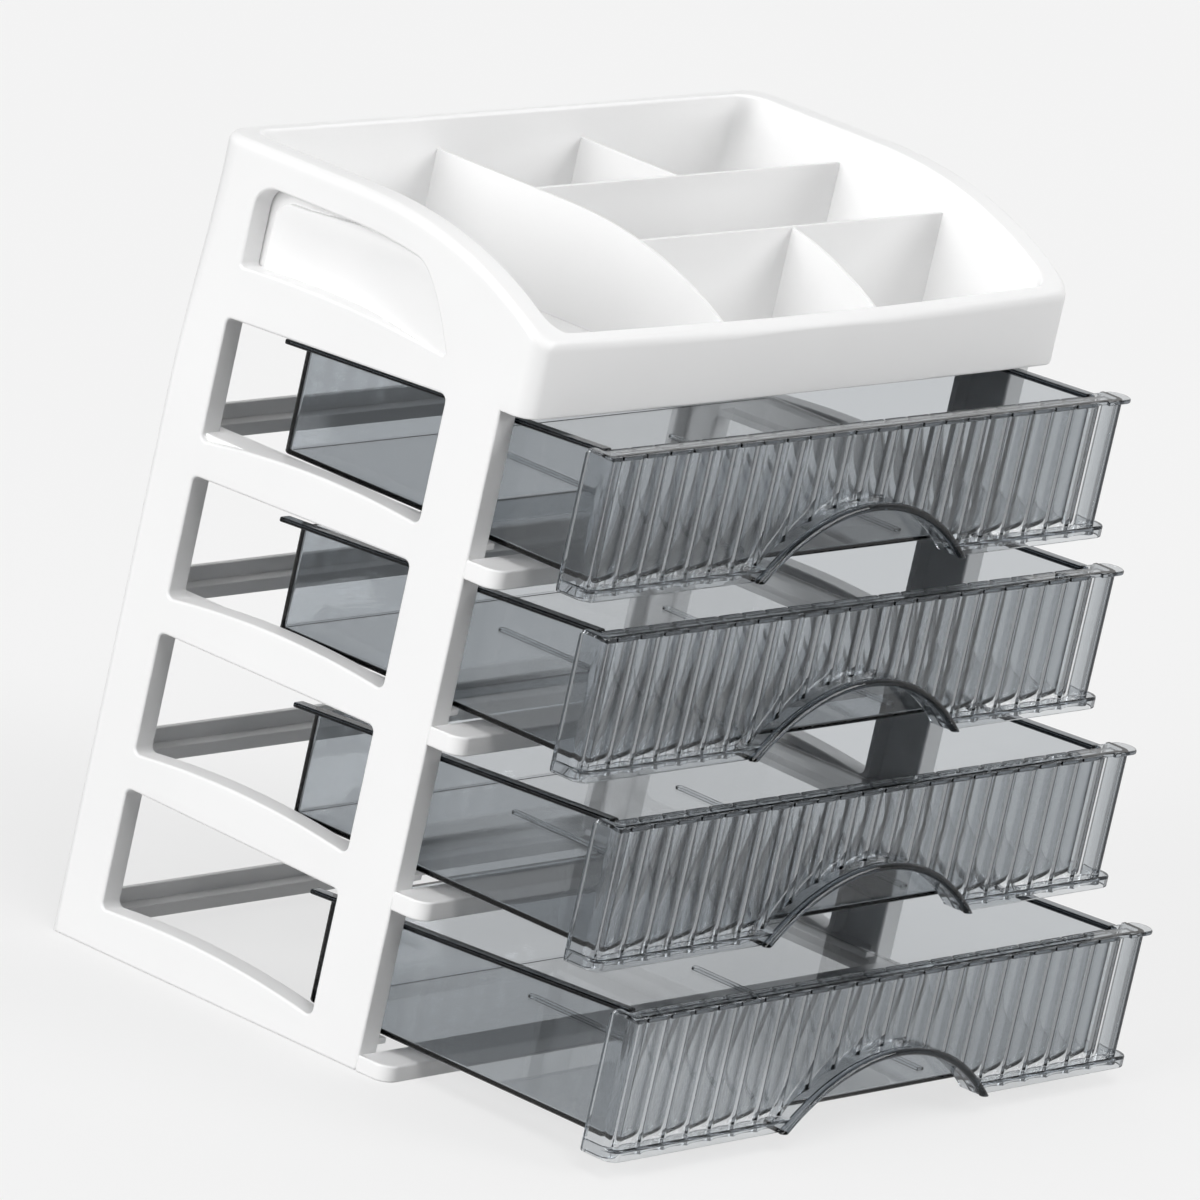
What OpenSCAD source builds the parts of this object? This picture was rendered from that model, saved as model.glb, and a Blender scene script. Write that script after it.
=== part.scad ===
// Desktop mini drawers: a white cabinet of two side panels, four front
// rails and four rear crossbars, a divided tray on top and four smoky
// clear drawers, each one a box with a fluted clip-on front and an arch
// shaped finger pull. Millimetres. X runs across, Y runs back, Z runs up.
// The drawers are drawn part open and slide along Y.

/* [Cabinet] */
// overall width across both side panels
body_w = 270; // [220:1:340]
// depth from the rail fronts to the back edge
body_d = 138; // [120:1:180]
// height of the tray rim at the back
body_h = 259.4; // [240:0.2:300]
// thickness of a side panel over its lips
panel_t = 9; // [6:0.5:14]
// thickness of the panel skin and of its lips
wall = 2.4; // [1.6:0.1:3.2]
// set-back of the panel front edge behind the rail fronts
post_y = 12; // [8:0.5:20]
// depth at which the top edge starts to fall towards the front
arc_y = 85; // [60:1:110]
// height lost by the top edge at the front
arc_drop = 24.4; // [10:0.2:40]
// how sharply the top edge bends down
arc_power = 2.35; // [1.5:0.05:3]

/* [Levels] */
// height of the lowest rail top above the table
rail_z = 5.4; // [4:0.2:10]
// height from one drawer level to the next
pitch = 52.9; // [48:0.1:60]
// thickness of the upper front rails
rail_t = 6.2; // [4:0.2:9]
// how far the rear crossbars sit below the level of the rail tops
bar_drop = 2.2; // [0:0.1:2.4]
// corner radius of the front rails in plan
rail_r = 5.4; // [2:0.2:8]

/* [Side windows] */
// front edge of the windows
win_front = 32.9; // [26:0.1:40]
// back edge of the windows
win_back = 120.2; // [100:0.1:126]
// height of the lowest window top at its back edge
win_top_back = 52.8; // [46:0.1:56]
// height of the lowest window top at its front edge
win_top_front = 50.9; // [46:0.1:56]
// window height at the back edge
win_h_back = 39.5; // [30:0.1:42]
// window height at the front edge
win_h_front = 41; // [30:0.1:42]
// spacing of the windows along the back edge
win_pitch_back = 50.67; // [46:0.01:56]
// spacing of the windows along the front edge
win_pitch_front = 52.7; // [46:0.01:56]
// upward bow of the window sills
sill_bow = 3; // [0:0.1:5]

/* [Top tray] */
// underside of the tray and of its front fascia
tray_z = 211; // [205:0.5:225]
// thickness of the tray floor
tray_floor = 2; // [1.2:0.1:4]
// height of the rim band above the panels
rim_t = 3; // [2:0.2:5]
// width of the rim band along the sides
rim_w = 10.2; // [10:0.2:14]
// thickness of the back rim
rim_back = 4.4; // [3:0.2:8]
// inner face of the front wall
tray_front = 5; // [4:0.2:9]
// set-back of the fascia corners behind the rail fronts
fascia_y = 2; // [0.4:0.1:4]
// forward bow of the fascia at its middle
fascia_bow = 1.6; // [0:0.1:2]
// thickness of the dividers
div_t = 1.3; // [1:0.1:2.4]
// drop of the divider tops below the rim
div_drop = 10.4; // [4:0.2:20]
// position of the long front to back divider
div_x = 104; // [60:1:200]
// depth of the rear cross divider
cross_rear_y = 94; // [80:1:110]
// depth of the front cross divider
cross_front_y = 51; // [35:1:70]
// position of the short divider in the rear row
short_rear_x = 176; // [130:1:230]
// position of the short divider in the front row
short_front_x = 181.5; // [130:0.5:230]

/* [Drawers] */
// how far the top drawer is drawn out
open_1 = 29.4; // [0:0.1:99]
// how far the second drawer is drawn out
open_2 = 41.6; // [0:0.1:99]
// how far the third drawer is drawn out
open_3 = 61.6; // [0:0.1:99]
// how far the bottom drawer is drawn out
open_4 = 82.9; // [0:0.1:99]
// wall thickness of the drawer boxes
box_wall = 1.6; // [1:0.1:2.4]
// outer face of the box side wall, from the cabinet side
box_x = 12.6; // [11:0.1:16]
// outer edge of the box rim, from the cabinet side
box_rim_x = 9.8; // [9.4:0.1:11]
// underside of the box above its rail top
box_z = 4; // [3.9:0.1:6]
// rim height of the box at the back, above the rail top
box_h_back = 39; // [30:0.2:44]
// rim height of the box at the front, above the rail top
box_h_front = 45.4; // [40:0.2:46]
// outer face of the box rear wall when the drawer is shut
box_back = 127.8; // [110:0.2:130]
// length of the rim tips behind the box
rim_tip = 5.6; // [0:0.2:8]

/* [Drawer fronts] */
// outer face of the front side returns, from the cabinet side
fin_x = 4; // [3:0.5:8]
// depth of the side returns
fin_d = 9.5; // [5:0.5:11]
// thickness of the fluted wall at its ridges
front_t = 2.4; // [1.8:0.1:4]
// distance between flutes
flute_pitch = 11.5; // [8:0.5:16]
// number of flute ridges
flutes = 23; // [11:1:31]
// depth of the flutes
flute_depth = 0.9; // [0.3:0.1:1.4]
// thickness of the top flange
flange_t = 1.4; // [1:0.1:3]
// depth of the top flange, from its front edge
flange_d = 6.4; // [4:0.2:8.8]
// top of the flange above the rail top
front_h = 45.8; // [40:0.1:46.2]
// clearance under the front above the rail
front_gap = 0.8; // [0.4:0.1:2]
// height of the plinth lip
plinth_h = 4; // [2:0.2:8]
// how far the plinth stands in front of the flutes
plinth_out = 3; // [1:0.2:5]
// outer radius of the arch pull
arch_r = 76; // [50:1:90]
// rise of the arch above the underside of the front
arch_h = 21.4; // [15:0.2:30]
// how far the arch stands in front of the flutes
arch_out = 5; // [4:0.2:14]
// middle of the arch, from the left side of the cabinet
arch_x = 138.5; // [130:0.5:145]
// thickness of the arch shell
arch_t = 2; // [1.4:0.1:3]
// thickness of the rounded arch edge
arch_edge = 2.6; // [2:0.1:4]

/* [Hidden] */
$fn = 48;
levels = 4;
x_mid = body_w / 2;
opens = [open_4, open_3, open_2, open_1];
y_front = -open_4 - arch_out;
y_mid = (body_d + y_front) / 2;
box_front = 4.8;
flange_z = front_h - flange_t;
arch_z = front_gap + arch_h - arch_r;
white = [0.93, 0.93, 0.93];
white_in = [0.88, 0.88, 0.88];
smoke = [0.36, 0.38, 0.41, 0.6];
smoke_front = [0.42, 0.44, 0.47, 0.6];

function rail_top(k) = rail_z + pitch * k;
function arc_z(y) = body_h - arc_drop * pow(max(0, arc_y - y) / (arc_y - fascia_y), arc_power);
function steps(a, b, n) = [for (i = [0:n]) a + (b - a) * i / n];
function flute_y(u) = flute_depth * (1 - pow(abs(2 * u - 1), 2));

// moves a shape from cabinet coordinates to the part's own origin
module placed() translate([-x_mid, -y_mid, 0]) children();

// draws a side view shape as a plate that starts at x and is t thick
module side_plate(x, t) translate([x, 0, 0]) rotate([90, 0, 90]) linear_extrude(t) children();

// outline of a side panel, up to the underside of the rim
module panel_outline()
    polygon(concat([[post_y, 0], [body_d, 0]],
        [for (y = steps(body_d, post_y, 30)) [y, arc_z(y) - rim_t]]));

// one side window with rounded corners and a bowed sill
module window_shape(k) {
    tb = win_top_back + win_pitch_back * k;
    tf = win_top_front + win_pitch_front * k;
    sb = tb - win_h_back;
    sf = tf - win_h_front;
    offset(r = 2) offset(delta = -2)
        polygon(concat([[win_front, tf], [win_back, tb]],
            [for (u = steps(1, 0, 16)) [win_front + (win_back - win_front) * u,
                sf + (sb - sf) * u + sill_bow * 4 * u * (1 - u)]]));
}

// the grip recess below the rim: round at the top back, pointed in front
module recess_shape()
    offset(r = 2) offset(delta = -2) union() {
        intersection() {
            polygon(concat([for (y = steps(119, 54, 20)) [y, arc_z(y) - 11.4]],
                [for (u = steps(0, 1, 12)) [54 - 18 * u, 245.4 - 25.4 * pow(u, 1.6)]],
                [for (u = steps(0.05, 1, 12)) [36 + 83 * u, 220 + 1.5 * u + 8 * u * (1 - u)]]));
            union() {
                translate([30, 210]) square([82, 50]);
                translate([100, 210]) square([19, 31]);
                translate([112, 241]) circle(r = 7);
            }
        }
    }

// a side panel: thin skin, lips round its outline and every opening,
// runner ribs for the drawers and slots for the rail tenons
module side_panel_solid()
    difference() {
        union() {
            side_plate(0, wall) panel_outline();
            side_plate(0, panel_t) difference() {
                panel_outline();
                offset(delta = -wall) panel_outline();
            }
            side_plate(0, panel_t) intersection() {
                panel_outline();
                union() {
                    for (k = [0:levels - 1]) offset(delta = wall) window_shape(k);
                    offset(delta = wall) recess_shape();
                }
            }
            for (k = [0:levels - 1]) {
                translate([0, post_y + 1, rail_top(k) + 1.6])
                    cube([panel_t + 4.6, body_d - post_y - 8, 2]);
                translate([0, post_y, rail_top(k) - 1.2])
                    cube([panel_t, 8, 2.8]);
            }
        }
        for (k = [0:levels - 1]) {
            side_plate(-1, panel_t + 2) window_shape(k);
            translate([wall, post_y - 1, rail_top(k) - 4.4]) cube([panel_t - wall - 1.4, wall + 5, 3.2]);
        }
        side_plate(-1, panel_t + 2) recess_shape();
    }

module left_side_panel() color(white) placed() side_panel_solid();

module right_side_panel() color(white) placed()
    translate([body_w, 0, 0]) mirror([1, 0, 0]) side_panel_solid();

// outline of the tray seen from above, with the bowed fascia
module tray_plan()
    intersection() {
        offset(r = 6) offset(delta = -6)
            polygon(concat([for (u = steps(0, 1, 24)) [body_w * u, fascia_y - fascia_bow * 4 * u * (1 - u)]],
                [[body_w, body_d], [0, body_d]]));
        translate([0, -10]) square([body_w, body_d + 10]);
    }

// the tray cavity seen from above
module tray_cavity()
    offset(r = 7) offset(delta = -7)
        translate([rim_w, tray_front]) square([body_w - 2 * rim_w, body_d - rim_back - tray_front]);

module top_tray() color(white) placed()
    difference() {
        intersection() {
            side_plate(0, body_w)
                polygon(concat([[-3, tray_z], [body_d, tray_z]],
                    [for (y = steps(body_d, fascia_y, 40)) [y, arc_z(y)]], [[-3, arc_z(fascia_y)]]));
            translate([0, 0, tray_z - 1]) linear_extrude(body_h) tray_plan();
        }
        translate([0, 0, tray_z + tray_floor]) linear_extrude(body_h) tray_cavity();
        for (x = [-1, body_w - panel_t])
            side_plate(x, panel_t + 1)
                polygon(concat([[post_y, tray_z - 2], [body_d + 2, tray_z - 2], [body_d + 2, arc_z(body_d) - rim_t]],
                    [for (y = steps(body_d, post_y, 30)) [y, arc_z(y) - rim_t]]));
    }

// a divider that stands across the tray at depth y
module cross_divider(x0, x1, y) color(white_in) placed()
    translate([x0, y - div_t / 2, tray_z + tray_floor])
        cube([x1 - x0, div_t, arc_z(y) - div_drop - tray_z - tray_floor]);

// a divider that runs front to back, its top following the rim
module long_shape(y0, y1)
    polygon(concat([[y0, tray_z + tray_floor], [y1, tray_z + tray_floor]],
        [for (y = steps(y1, y0, 30)) [y, arc_z(y) - div_drop]]));

module long_divider() color(white_in) placed()
    side_plate(div_x - div_t / 2, div_t) long_shape(tray_front, body_d - rim_back);

module rear_cross_divider() cross_divider(div_x + div_t / 2, body_w - rim_w, cross_rear_y);

module front_cross_divider() cross_divider(div_x + div_t / 2, body_w - rim_w, cross_front_y);

module rear_short_divider() color(white_in) placed()
    side_plate(short_rear_x - div_t / 2, div_t) long_shape(cross_rear_y + div_t / 2, body_d - rim_back);

module front_short_divider() color(white_in) placed()
    side_plate(short_front_x - div_t / 2, div_t) long_shape(tray_front, cross_front_y - div_t / 2);

// a front rail: hollow behind, rounded in plan, with a tenon at each end
module front_rail(k, t) color(white) placed() translate([0, 0, rail_top(k) - t]) {
    difference() {
        linear_extrude(t) intersection() {
            offset(r = rail_r) offset(delta = -rail_r) square([body_w, post_y + 12]);
            square([body_w, post_y]);
        }
        translate([rail_r + 3, 2.4, 1.8]) cube([body_w - 2 * rail_r - 6, post_y, t - 3.6]);
    }
    for (x = [wall + 0.1, body_w - panel_t + 1.5])
        translate([x, post_y - 0.5, t - 4.3]) cube([panel_t - wall - 1.6, 6.5, 3]);
}

module base_front_rail() front_rail(0, rail_z);

module lower_front_rail() front_rail(1, rail_t);

module middle_front_rail() front_rail(2, rail_t);

module upper_front_rail() front_rail(3, rail_t);

// a rear crossbar: stepped section, ends let into the hollow panels
module crossbar(k) color(white) placed() translate([0, 0, rail_top(k) - bar_drop]) {
    side_plate(panel_t, body_w - 2 * panel_t)
        polygon([[131.5, -1.4], [133.5, -1.4], [133.5, 1], [body_d, 1], [body_d, 7.9], [136, 7.9], [136, 3], [131.5, 3]]);
    for (x = [wall, body_w - panel_t])
        translate([x, 131.5, 0.2]) cube([panel_t - wall, 2, 2.8]);
}

module base_rear_crossbar() crossbar(0);

module lower_rear_crossbar() crossbar(1);

module middle_rear_crossbar() crossbar(2);

module upper_rear_crossbar() crossbar(3);

// side view of a drawer box wall, seen with the drawer shut
module box_side()
    polygon([[box_front, box_z], [box_back, box_z], [box_back, box_h_back],
        [8.3, box_h_front], [8.3, flange_z], [box_front, flange_z]]);

// the rim strip along the top of a box wall, with its rear tip
module rim_side()
    polygon([[8.3, box_h_front - 1.6], [box_back + rim_tip, box_h_back - 1.6 - 0.3],
        [box_back + rim_tip, box_h_back - 0.3], [8.3, box_h_front]]);

// a drawer box: floor, four walls, outward rims and two floor ribs
module drawer_box(k) color(smoke) placed() translate([0, -opens[k], rail_top(k)]) {
    difference() {
        side_plate(box_x, body_w - 2 * box_x) box_side();
        translate([box_x + box_wall, box_front + box_wall, box_z + box_wall])
            cube([body_w - 2 * box_x - 2 * box_wall, box_back - box_front - 2 * box_wall, 60]);
        translate([box_x + box_wall, 7, box_h_back - 1]) cube([body_w - 2 * box_x - 2 * box_wall, 140, 20]);
    }
    for (x = [box_rim_x, body_w - box_x - box_wall])
        side_plate(x, box_x + box_wall - box_rim_x) rim_side();
    for (x = [92, 174])
        translate([x, 12, box_z + box_wall]) {
            cube([0.8, 90, 0.7]);
            translate([2.4, 0, 0]) cube([0.8, 90, 0.7]);
            translate([1.6, 90, 0]) difference() {
                cylinder(h = 0.7, r = 1.6);
                translate([0, 0, -1]) cylinder(h = 3, r = 0.8);
                translate([-3, -6, -1]) cube([6, 6, 3]);
            }
        }
}

// plan of the fluted wall: concave flutes between slim ridges
module flute_plan() {
    x0 = x_mid - flute_pitch * (flutes - 1) / 2;
    polygon(concat([[fin_x, front_t], [fin_x, 0]],
        [for (i = [0:flutes - 2]) for (u = steps(0, 1, 8)) [x0 + flute_pitch * (i + 0.04 + 0.92 * u), flute_y(u)]],
        [[body_w - fin_x, 0], [body_w - fin_x, front_t]]));
}

// plan of the top flange, square to the left and round to the right
module flange_plan()
    union() {
        offset(r = 0.6) offset(delta = -0.6) translate([fin_x, -0.8]) square([body_w - fin_x - 8, flange_d]);
        offset(r = 0.6) offset(delta = -0.6) translate([fin_x, -0.8]) square([3.4, 10.3]);
        translate([body_w - 14, -0.8]) square([9.6, 8.8]);
        translate([body_w - 4.4, 3.6]) circle(r = 4.4);
    }

// plan of the plinth lip that runs round the foot of the front
module plinth_plan()
    difference() {
        intersection() {
            offset(r = 4) offset(delta = -4) translate([3, -plinth_out]) square([body_w - 5.5, fin_d + 20]);
            translate([0, -10]) square([body_w, 10 + fin_d]);
        }
        translate([fin_x + 2, front_t]) square([body_w - 2 * fin_x - 4, 40]);
    }

// a drawer front: fluted wall, side returns, flange, plinth and arch pull
module drawer_front(k) color(smoke_front) placed() translate([0, -opens[k], rail_top(k)]) {
    difference() {
        union() {
            translate([0, 0, front_gap]) linear_extrude(flange_z - front_gap + 0.2) flute_plan();
            for (x = [fin_x, body_w - fin_x - 2])
                translate([x, 0, front_gap]) cube([2, fin_d, flange_z - front_gap + 0.2]);
            translate([0, 0, front_gap]) linear_extrude(plinth_h) plinth_plan();
        }
        translate([arch_x, 30, arch_z]) rotate([90, 0, 0]) cylinder(h = 60, r = arch_r - 1, $fn = 180);
    }
    translate([0, 0, flange_z]) linear_extrude(flange_t) flange_plan();
    intersection() {
        union() {
            translate([arch_x, box_front, arch_z]) rotate([90, 0, 0]) difference() {
                cylinder(h = box_front + arch_out - arch_edge / 2, r = arch_r, $fn = 180);
                translate([0, 0, -1]) cylinder(h = 60, r = arch_r - arch_t, $fn = 180);
            }
            translate([arch_x, -arch_out + arch_edge / 2, arch_z]) rotate([90, 0, 0])
                rotate_extrude($fn = 180) translate([arch_r - arch_edge / 2, 0]) circle(r = arch_edge / 2, $fn = 16);
        }
        translate([arch_x - 60, -20, front_gap]) cube([120, 40, 60]);
    }
}

module drawer_box_1() drawer_box(3);

module drawer_box_2() drawer_box(2);

module drawer_box_3() drawer_box(1);

module drawer_box_4() drawer_box(0);

module drawer_front_1() drawer_front(3);

module drawer_front_2() drawer_front(2);

module drawer_front_3() drawer_front(1);

module drawer_front_4() drawer_front(0);

left_side_panel();
right_side_panel();
top_tray();
long_divider();
rear_cross_divider();
front_cross_divider();
rear_short_divider();
front_short_divider();
base_front_rail();
lower_front_rail();
middle_front_rail();
upper_front_rail();
base_rear_crossbar();
lower_rear_crossbar();
middle_rear_crossbar();
upper_rear_crossbar();
drawer_box_1();
drawer_box_2();
drawer_box_3();
drawer_box_4();
drawer_front_1();
drawer_front_2();
drawer_front_3();
drawer_front_4();
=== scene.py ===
import math
import bpy, bmesh
from mathutils import Vector, Matrix


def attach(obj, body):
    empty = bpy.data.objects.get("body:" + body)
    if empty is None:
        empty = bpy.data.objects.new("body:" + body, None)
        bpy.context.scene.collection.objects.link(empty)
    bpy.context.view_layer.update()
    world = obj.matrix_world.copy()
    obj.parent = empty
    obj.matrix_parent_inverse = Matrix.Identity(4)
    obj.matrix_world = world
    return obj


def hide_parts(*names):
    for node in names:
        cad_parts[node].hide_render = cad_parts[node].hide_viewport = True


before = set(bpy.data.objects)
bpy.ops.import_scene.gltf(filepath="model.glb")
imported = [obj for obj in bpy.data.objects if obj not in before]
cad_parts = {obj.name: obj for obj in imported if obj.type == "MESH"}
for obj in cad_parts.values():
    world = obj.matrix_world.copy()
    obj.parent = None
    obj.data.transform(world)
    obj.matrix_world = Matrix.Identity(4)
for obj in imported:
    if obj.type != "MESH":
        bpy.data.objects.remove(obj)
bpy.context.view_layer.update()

# ---------------------------------------------------------------- dimensions (millimetres, cabinet coordinates)
W, D, H = 270.0, 138.0, 259.4
Y_MID = 25.05
PANEL_T = 9.0
POST_Y = 12.0
ARC_Y, ARC_DROP, ARC_P, FASCIA_Y = 85.0, 24.4, 2.35, 2.0
RAIL_Z, PITCH, RAIL_T, RAIL_R = 5.4, 52.9, 6.2, 5.4
TRAY_Z, TRAY_FLOOR, RIM_W, RIM_BACK, TRAY_FRONT = 211.0, 2.0, 10.2, 4.4, 5.0
OPENS = {1: 29.4, 2: 41.6, 3: 61.6, 4: 82.9}
LEVEL = {1: 3, 2: 2, 3: 1, 4: 0}
col = bpy.context.scene.collection


def arc_z(y):
    return H - ARC_DROP * (max(0.0, ARC_Y - y) / (ARC_Y - FASCIA_Y)) ** ARC_P


def rail_top(k):
    return RAIL_Z + PITCH * k


def to_frame(x, y, z):
    return ((x - W / 2) / 1000, (y - Y_MID) / 1000, z / 1000)


# ---------------------------------------------------------------- mesh helpers
def new_object(name, mesh):
    ob = bpy.data.objects.new(name, mesh)
    col.objects.link(ob)
    return ob


def mesh_from(name, verts, faces):
    me = bpy.data.meshes.new(name)
    me.from_pydata(verts, [], faces)
    me.validate()
    me.update()
    return me


def clean(me, dist=0.002, tri=False):
    bm = bmesh.new()
    bm.from_mesh(me)
    bmesh.ops.remove_doubles(bm, verts=bm.verts, dist=dist)
    bmesh.ops.dissolve_degenerate(bm, dist=dist * 0.5, edges=bm.edges)
    bmesh.ops.recalc_face_normals(bm, faces=bm.faces)
    if tri:
        bmesh.ops.triangulate(bm, faces=bm.faces)
    bm.to_mesh(me)
    bm.free()
    me.update()
    return me


def round_poly(points, radii, seg=6):
    """Rounds the corners of a closed polygon. radii is one number or a list with one per corner."""
    n = len(points)
    if not isinstance(radii, (list, tuple)):
        radii = [radii] * n
    out = []
    for i in range(n):
        p = Vector(points[i]); a = Vector(points[i - 1]); b = Vector(points[(i + 1) % n])
        r = radii[i]
        u = (a - p); v = (b - p)
        la, lb = u.length, v.length
        if r <= 0 or la < 1e-6 or lb < 1e-6:
            out.append((p.x, p.y)); continue
        u.normalize(); v.normalize()
        c = max(-1.0, min(1.0, u.dot(v)))
        ang = math.acos(c)
        if ang > math.pi - 0.02:
            out.append((p.x, p.y)); continue
        t = min(r / math.tan(ang / 2), la * 0.499, lb * 0.499)
        rr = t * math.tan(ang / 2)
        centre = p + (u + v).normalized() * (rr / math.sin(ang / 2))
        s = p + u * t; e = p + v * t
        a0 = math.atan2(s.y - centre.y, s.x - centre.x)
        a1 = math.atan2(e.y - centre.y, e.x - centre.x)
        d = a1 - a0
        while d > math.pi: d -= 2 * math.pi
        while d < -math.pi: d += 2 * math.pi
        for j in range(seg + 1):
            q = a0 + d * j / seg
            out.append((centre.x + rr * math.cos(q), centre.y + rr * math.sin(q)))
    return out


def area(loop):
    return 0.5 * sum(loop[i - 1][0] * loop[i][1] - loop[i][0] * loop[i - 1][1] for i in range(len(loop)))


def plate(name, outline, holes, t0, t1, bevel, plane="YZ", seg=3):
    """A plate cut from a flat outline with holes, its edges rounded. plane gives the two axes of the outline."""
    cu = bpy.data.curves.new(name + "_c", "CURVE")
    cu.dimensions = "2D"
    cu.fill_mode = "BOTH"
    for n, loop in enumerate([outline] + list(holes)):
        if (area(loop) < 0) != (n > 0):
            loop = loop[::-1]
        sp = cu.splines.new("POLY")
        sp.points.add(len(loop) - 1)
        for i, (a, b) in enumerate(loop):
            sp.points[i].co = (a, b, 0, 1)
        sp.use_cyclic_u = True
    cu.extrude = (t1 - t0) / 2 - bevel
    cu.bevel_depth = bevel
    cu.bevel_resolution = seg
    cu.offset = -bevel
    ob = bpy.data.objects.new(name + "_c", cu)
    col.objects.link(ob)
    dg = bpy.context.evaluated_depsgraph_get()
    me = bpy.data.meshes.new_from_object(ob.evaluated_get(dg))
    bpy.data.objects.remove(ob)
    bpy.data.curves.remove(cu)
    mid = (t0 + t1) / 2
    for v in me.vertices:
        a, b, c = v.co
        v.co = {"YZ": (c + mid, a, b), "XY": (a, b, c + mid), "XZ": (a, c + mid, b)}[plane]
    me.name = name
    return clean(me)


def prism(name, outline, t0, t1, plane="XY"):
    n = len(outline)
    f = {"YZ": lambda a, b, c: (c, a, b), "XY": lambda a, b, c: (a, b, c), "XZ": lambda a, b, c: (a, c, b)}[plane]
    verts = [f(a, b, t0) for a, b in outline] + [f(a, b, t1) for a, b in outline]
    faces = [tuple(range(n))[::-1], tuple(range(n, 2 * n))]
    faces += [(i, (i + 1) % n, n + (i + 1) % n, n + i) for i in range(n)]
    return clean(mesh_from(name, verts, faces))


def boolean(base, others, op):
    """Union or difference of closed meshes, in millimetres."""
    a = bpy.data.objects.new("bool_a", base)
    col.objects.link(a)
    tools = []
    for m in others:
        b = bpy.data.objects.new("bool_b", m)
        col.objects.link(b)
        tools.append(b)
        mod = a.modifiers.new("b", "BOOLEAN")
        mod.operation = op
        mod.object = b
        mod.solver = "MANIFOLD"
    dg = bpy.context.evaluated_depsgraph_get()
    dg.update()
    me = bpy.data.meshes.new_from_object(a.evaluated_get(dg))
    for o in [a] + tools:
        bpy.data.objects.remove(o)
    return clean(me, 0.0005)


def finish_mesh(me, sharp=32.0):
    """Millimetres in cabinet coordinates to metres in the part's frame, smooth shaded with crisp corners."""
    for v in me.vertices:
        v.co = to_frame(*v.co)
    shade(me, sharp)
    return me


def shade(me, sharp=32.0):
    me.polygons.foreach_set("use_smooth", [True] * len(me.polygons))
    me.set_sharp_from_angle(angle=math.radians(sharp))
    me.update()


def piece(name, me, body, node, mat, weighted=True):
    ob = new_object(name, me)
    me.materials.clear()
    me.materials.append(mat)
    if weighted:
        m = ob.modifiers.new("normals", "WEIGHTED_NORMAL")
        m.keep_sharp = True
        m.weight = 60
    if node:
        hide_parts(node)
    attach(ob, body)
    return ob


# ---------------------------------------------------------------- materials
def nodes_of(mat):
    mat.use_nodes = True
    nt = mat.node_tree
    nt.nodes.clear()
    out = nt.nodes.new("ShaderNodeOutputMaterial")
    bsdf = nt.nodes.new("ShaderNodeBsdfPrincipled")
    nt.links.new(bsdf.outputs["BSDF"], out.inputs["Surface"])
    coord = nt.nodes.new("ShaderNodeTexCoord")
    return nt, out, bsdf, coord


def noise(nt, vec, scale, detail=3.0, rough=0.5):
    n = nt.nodes.new("ShaderNodeTexNoise")
    n.inputs["Scale"].default_value = scale
    n.inputs["Detail"].default_value = detail
    n.inputs["Roughness"].default_value = rough
    nt.links.new(vec, n.inputs["Vector"])
    return n


def ramp(nt, fac, stops):
    r = nt.nodes.new("ShaderNodeValToRGB")
    r.color_ramp.elements[0].position = stops[0][0]
    r.color_ramp.elements[0].color = stops[0][1]
    r.color_ramp.elements[1].position = stops[-1][0]
    r.color_ramp.elements[1].color = stops[-1][1]
    for p, c in stops[1:-1]:
        e = r.color_ramp.elements.new(p)
        e.color = c
    nt.links.new(fac, r.inputs["Fac"])
    return r


def white_plastic(name, tone, rough):
    """Moulded white plastic: faint tone drift, a fine satin grain and slow waviness of the moulded walls."""
    mat = bpy.data.materials.new(name)
    nt, out, bsdf, coord = nodes_of(mat)
    drift = noise(nt, coord.outputs["Object"], 14.0, 3.0, 0.55)
    lo = tuple(t * 0.985 for t in tone) + (1,)
    hi = tuple(min(1.0, t * 1.012) for t in tone) + (1,)
    cr = ramp(nt, drift.outputs["Fac"], [(0.3, lo), (0.7, hi)])
    nt.links.new(cr.outputs["Color"], bsdf.inputs["Base Color"])
    rn = noise(nt, coord.outputs["Object"], 60.0, 4.0, 0.6)
    rr = nt.nodes.new("ShaderNodeMapRange")
    rr.inputs["From Min"].default_value = 0.3
    rr.inputs["From Max"].default_value = 0.7
    rr.inputs["To Min"].default_value = rough - 0.05
    rr.inputs["To Max"].default_value = rough + 0.06
    nt.links.new(rn.outputs["Fac"], rr.inputs["Value"])
    nt.links.new(rr.outputs["Result"], bsdf.inputs["Roughness"])
    grain = noise(nt, coord.outputs["Object"], 2600.0, 2.0, 0.5)
    wave = noise(nt, coord.outputs["Object"], 22.0, 1.0, 0.4)
    b1 = nt.nodes.new("ShaderNodeBump")
    b1.inputs["Strength"].default_value = 0.05
    b1.inputs["Distance"].default_value = 0.00012
    nt.links.new(grain.outputs["Fac"], b1.inputs["Height"])
    b2 = nt.nodes.new("ShaderNodeBump")
    b2.inputs["Strength"].default_value = 0.10
    b2.inputs["Distance"].default_value = 0.0006
    nt.links.new(wave.outputs["Fac"], b2.inputs["Height"])
    nt.links.new(b1.outputs["Normal"], b2.inputs["Normal"])
    nt.links.new(b2.outputs["Normal"], bsdf.inputs["Normal"])
    bsdf.inputs["IOR"].default_value = 1.49
    bsdf.inputs["Specular IOR Level"].default_value = 0.45
    return mat


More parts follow.
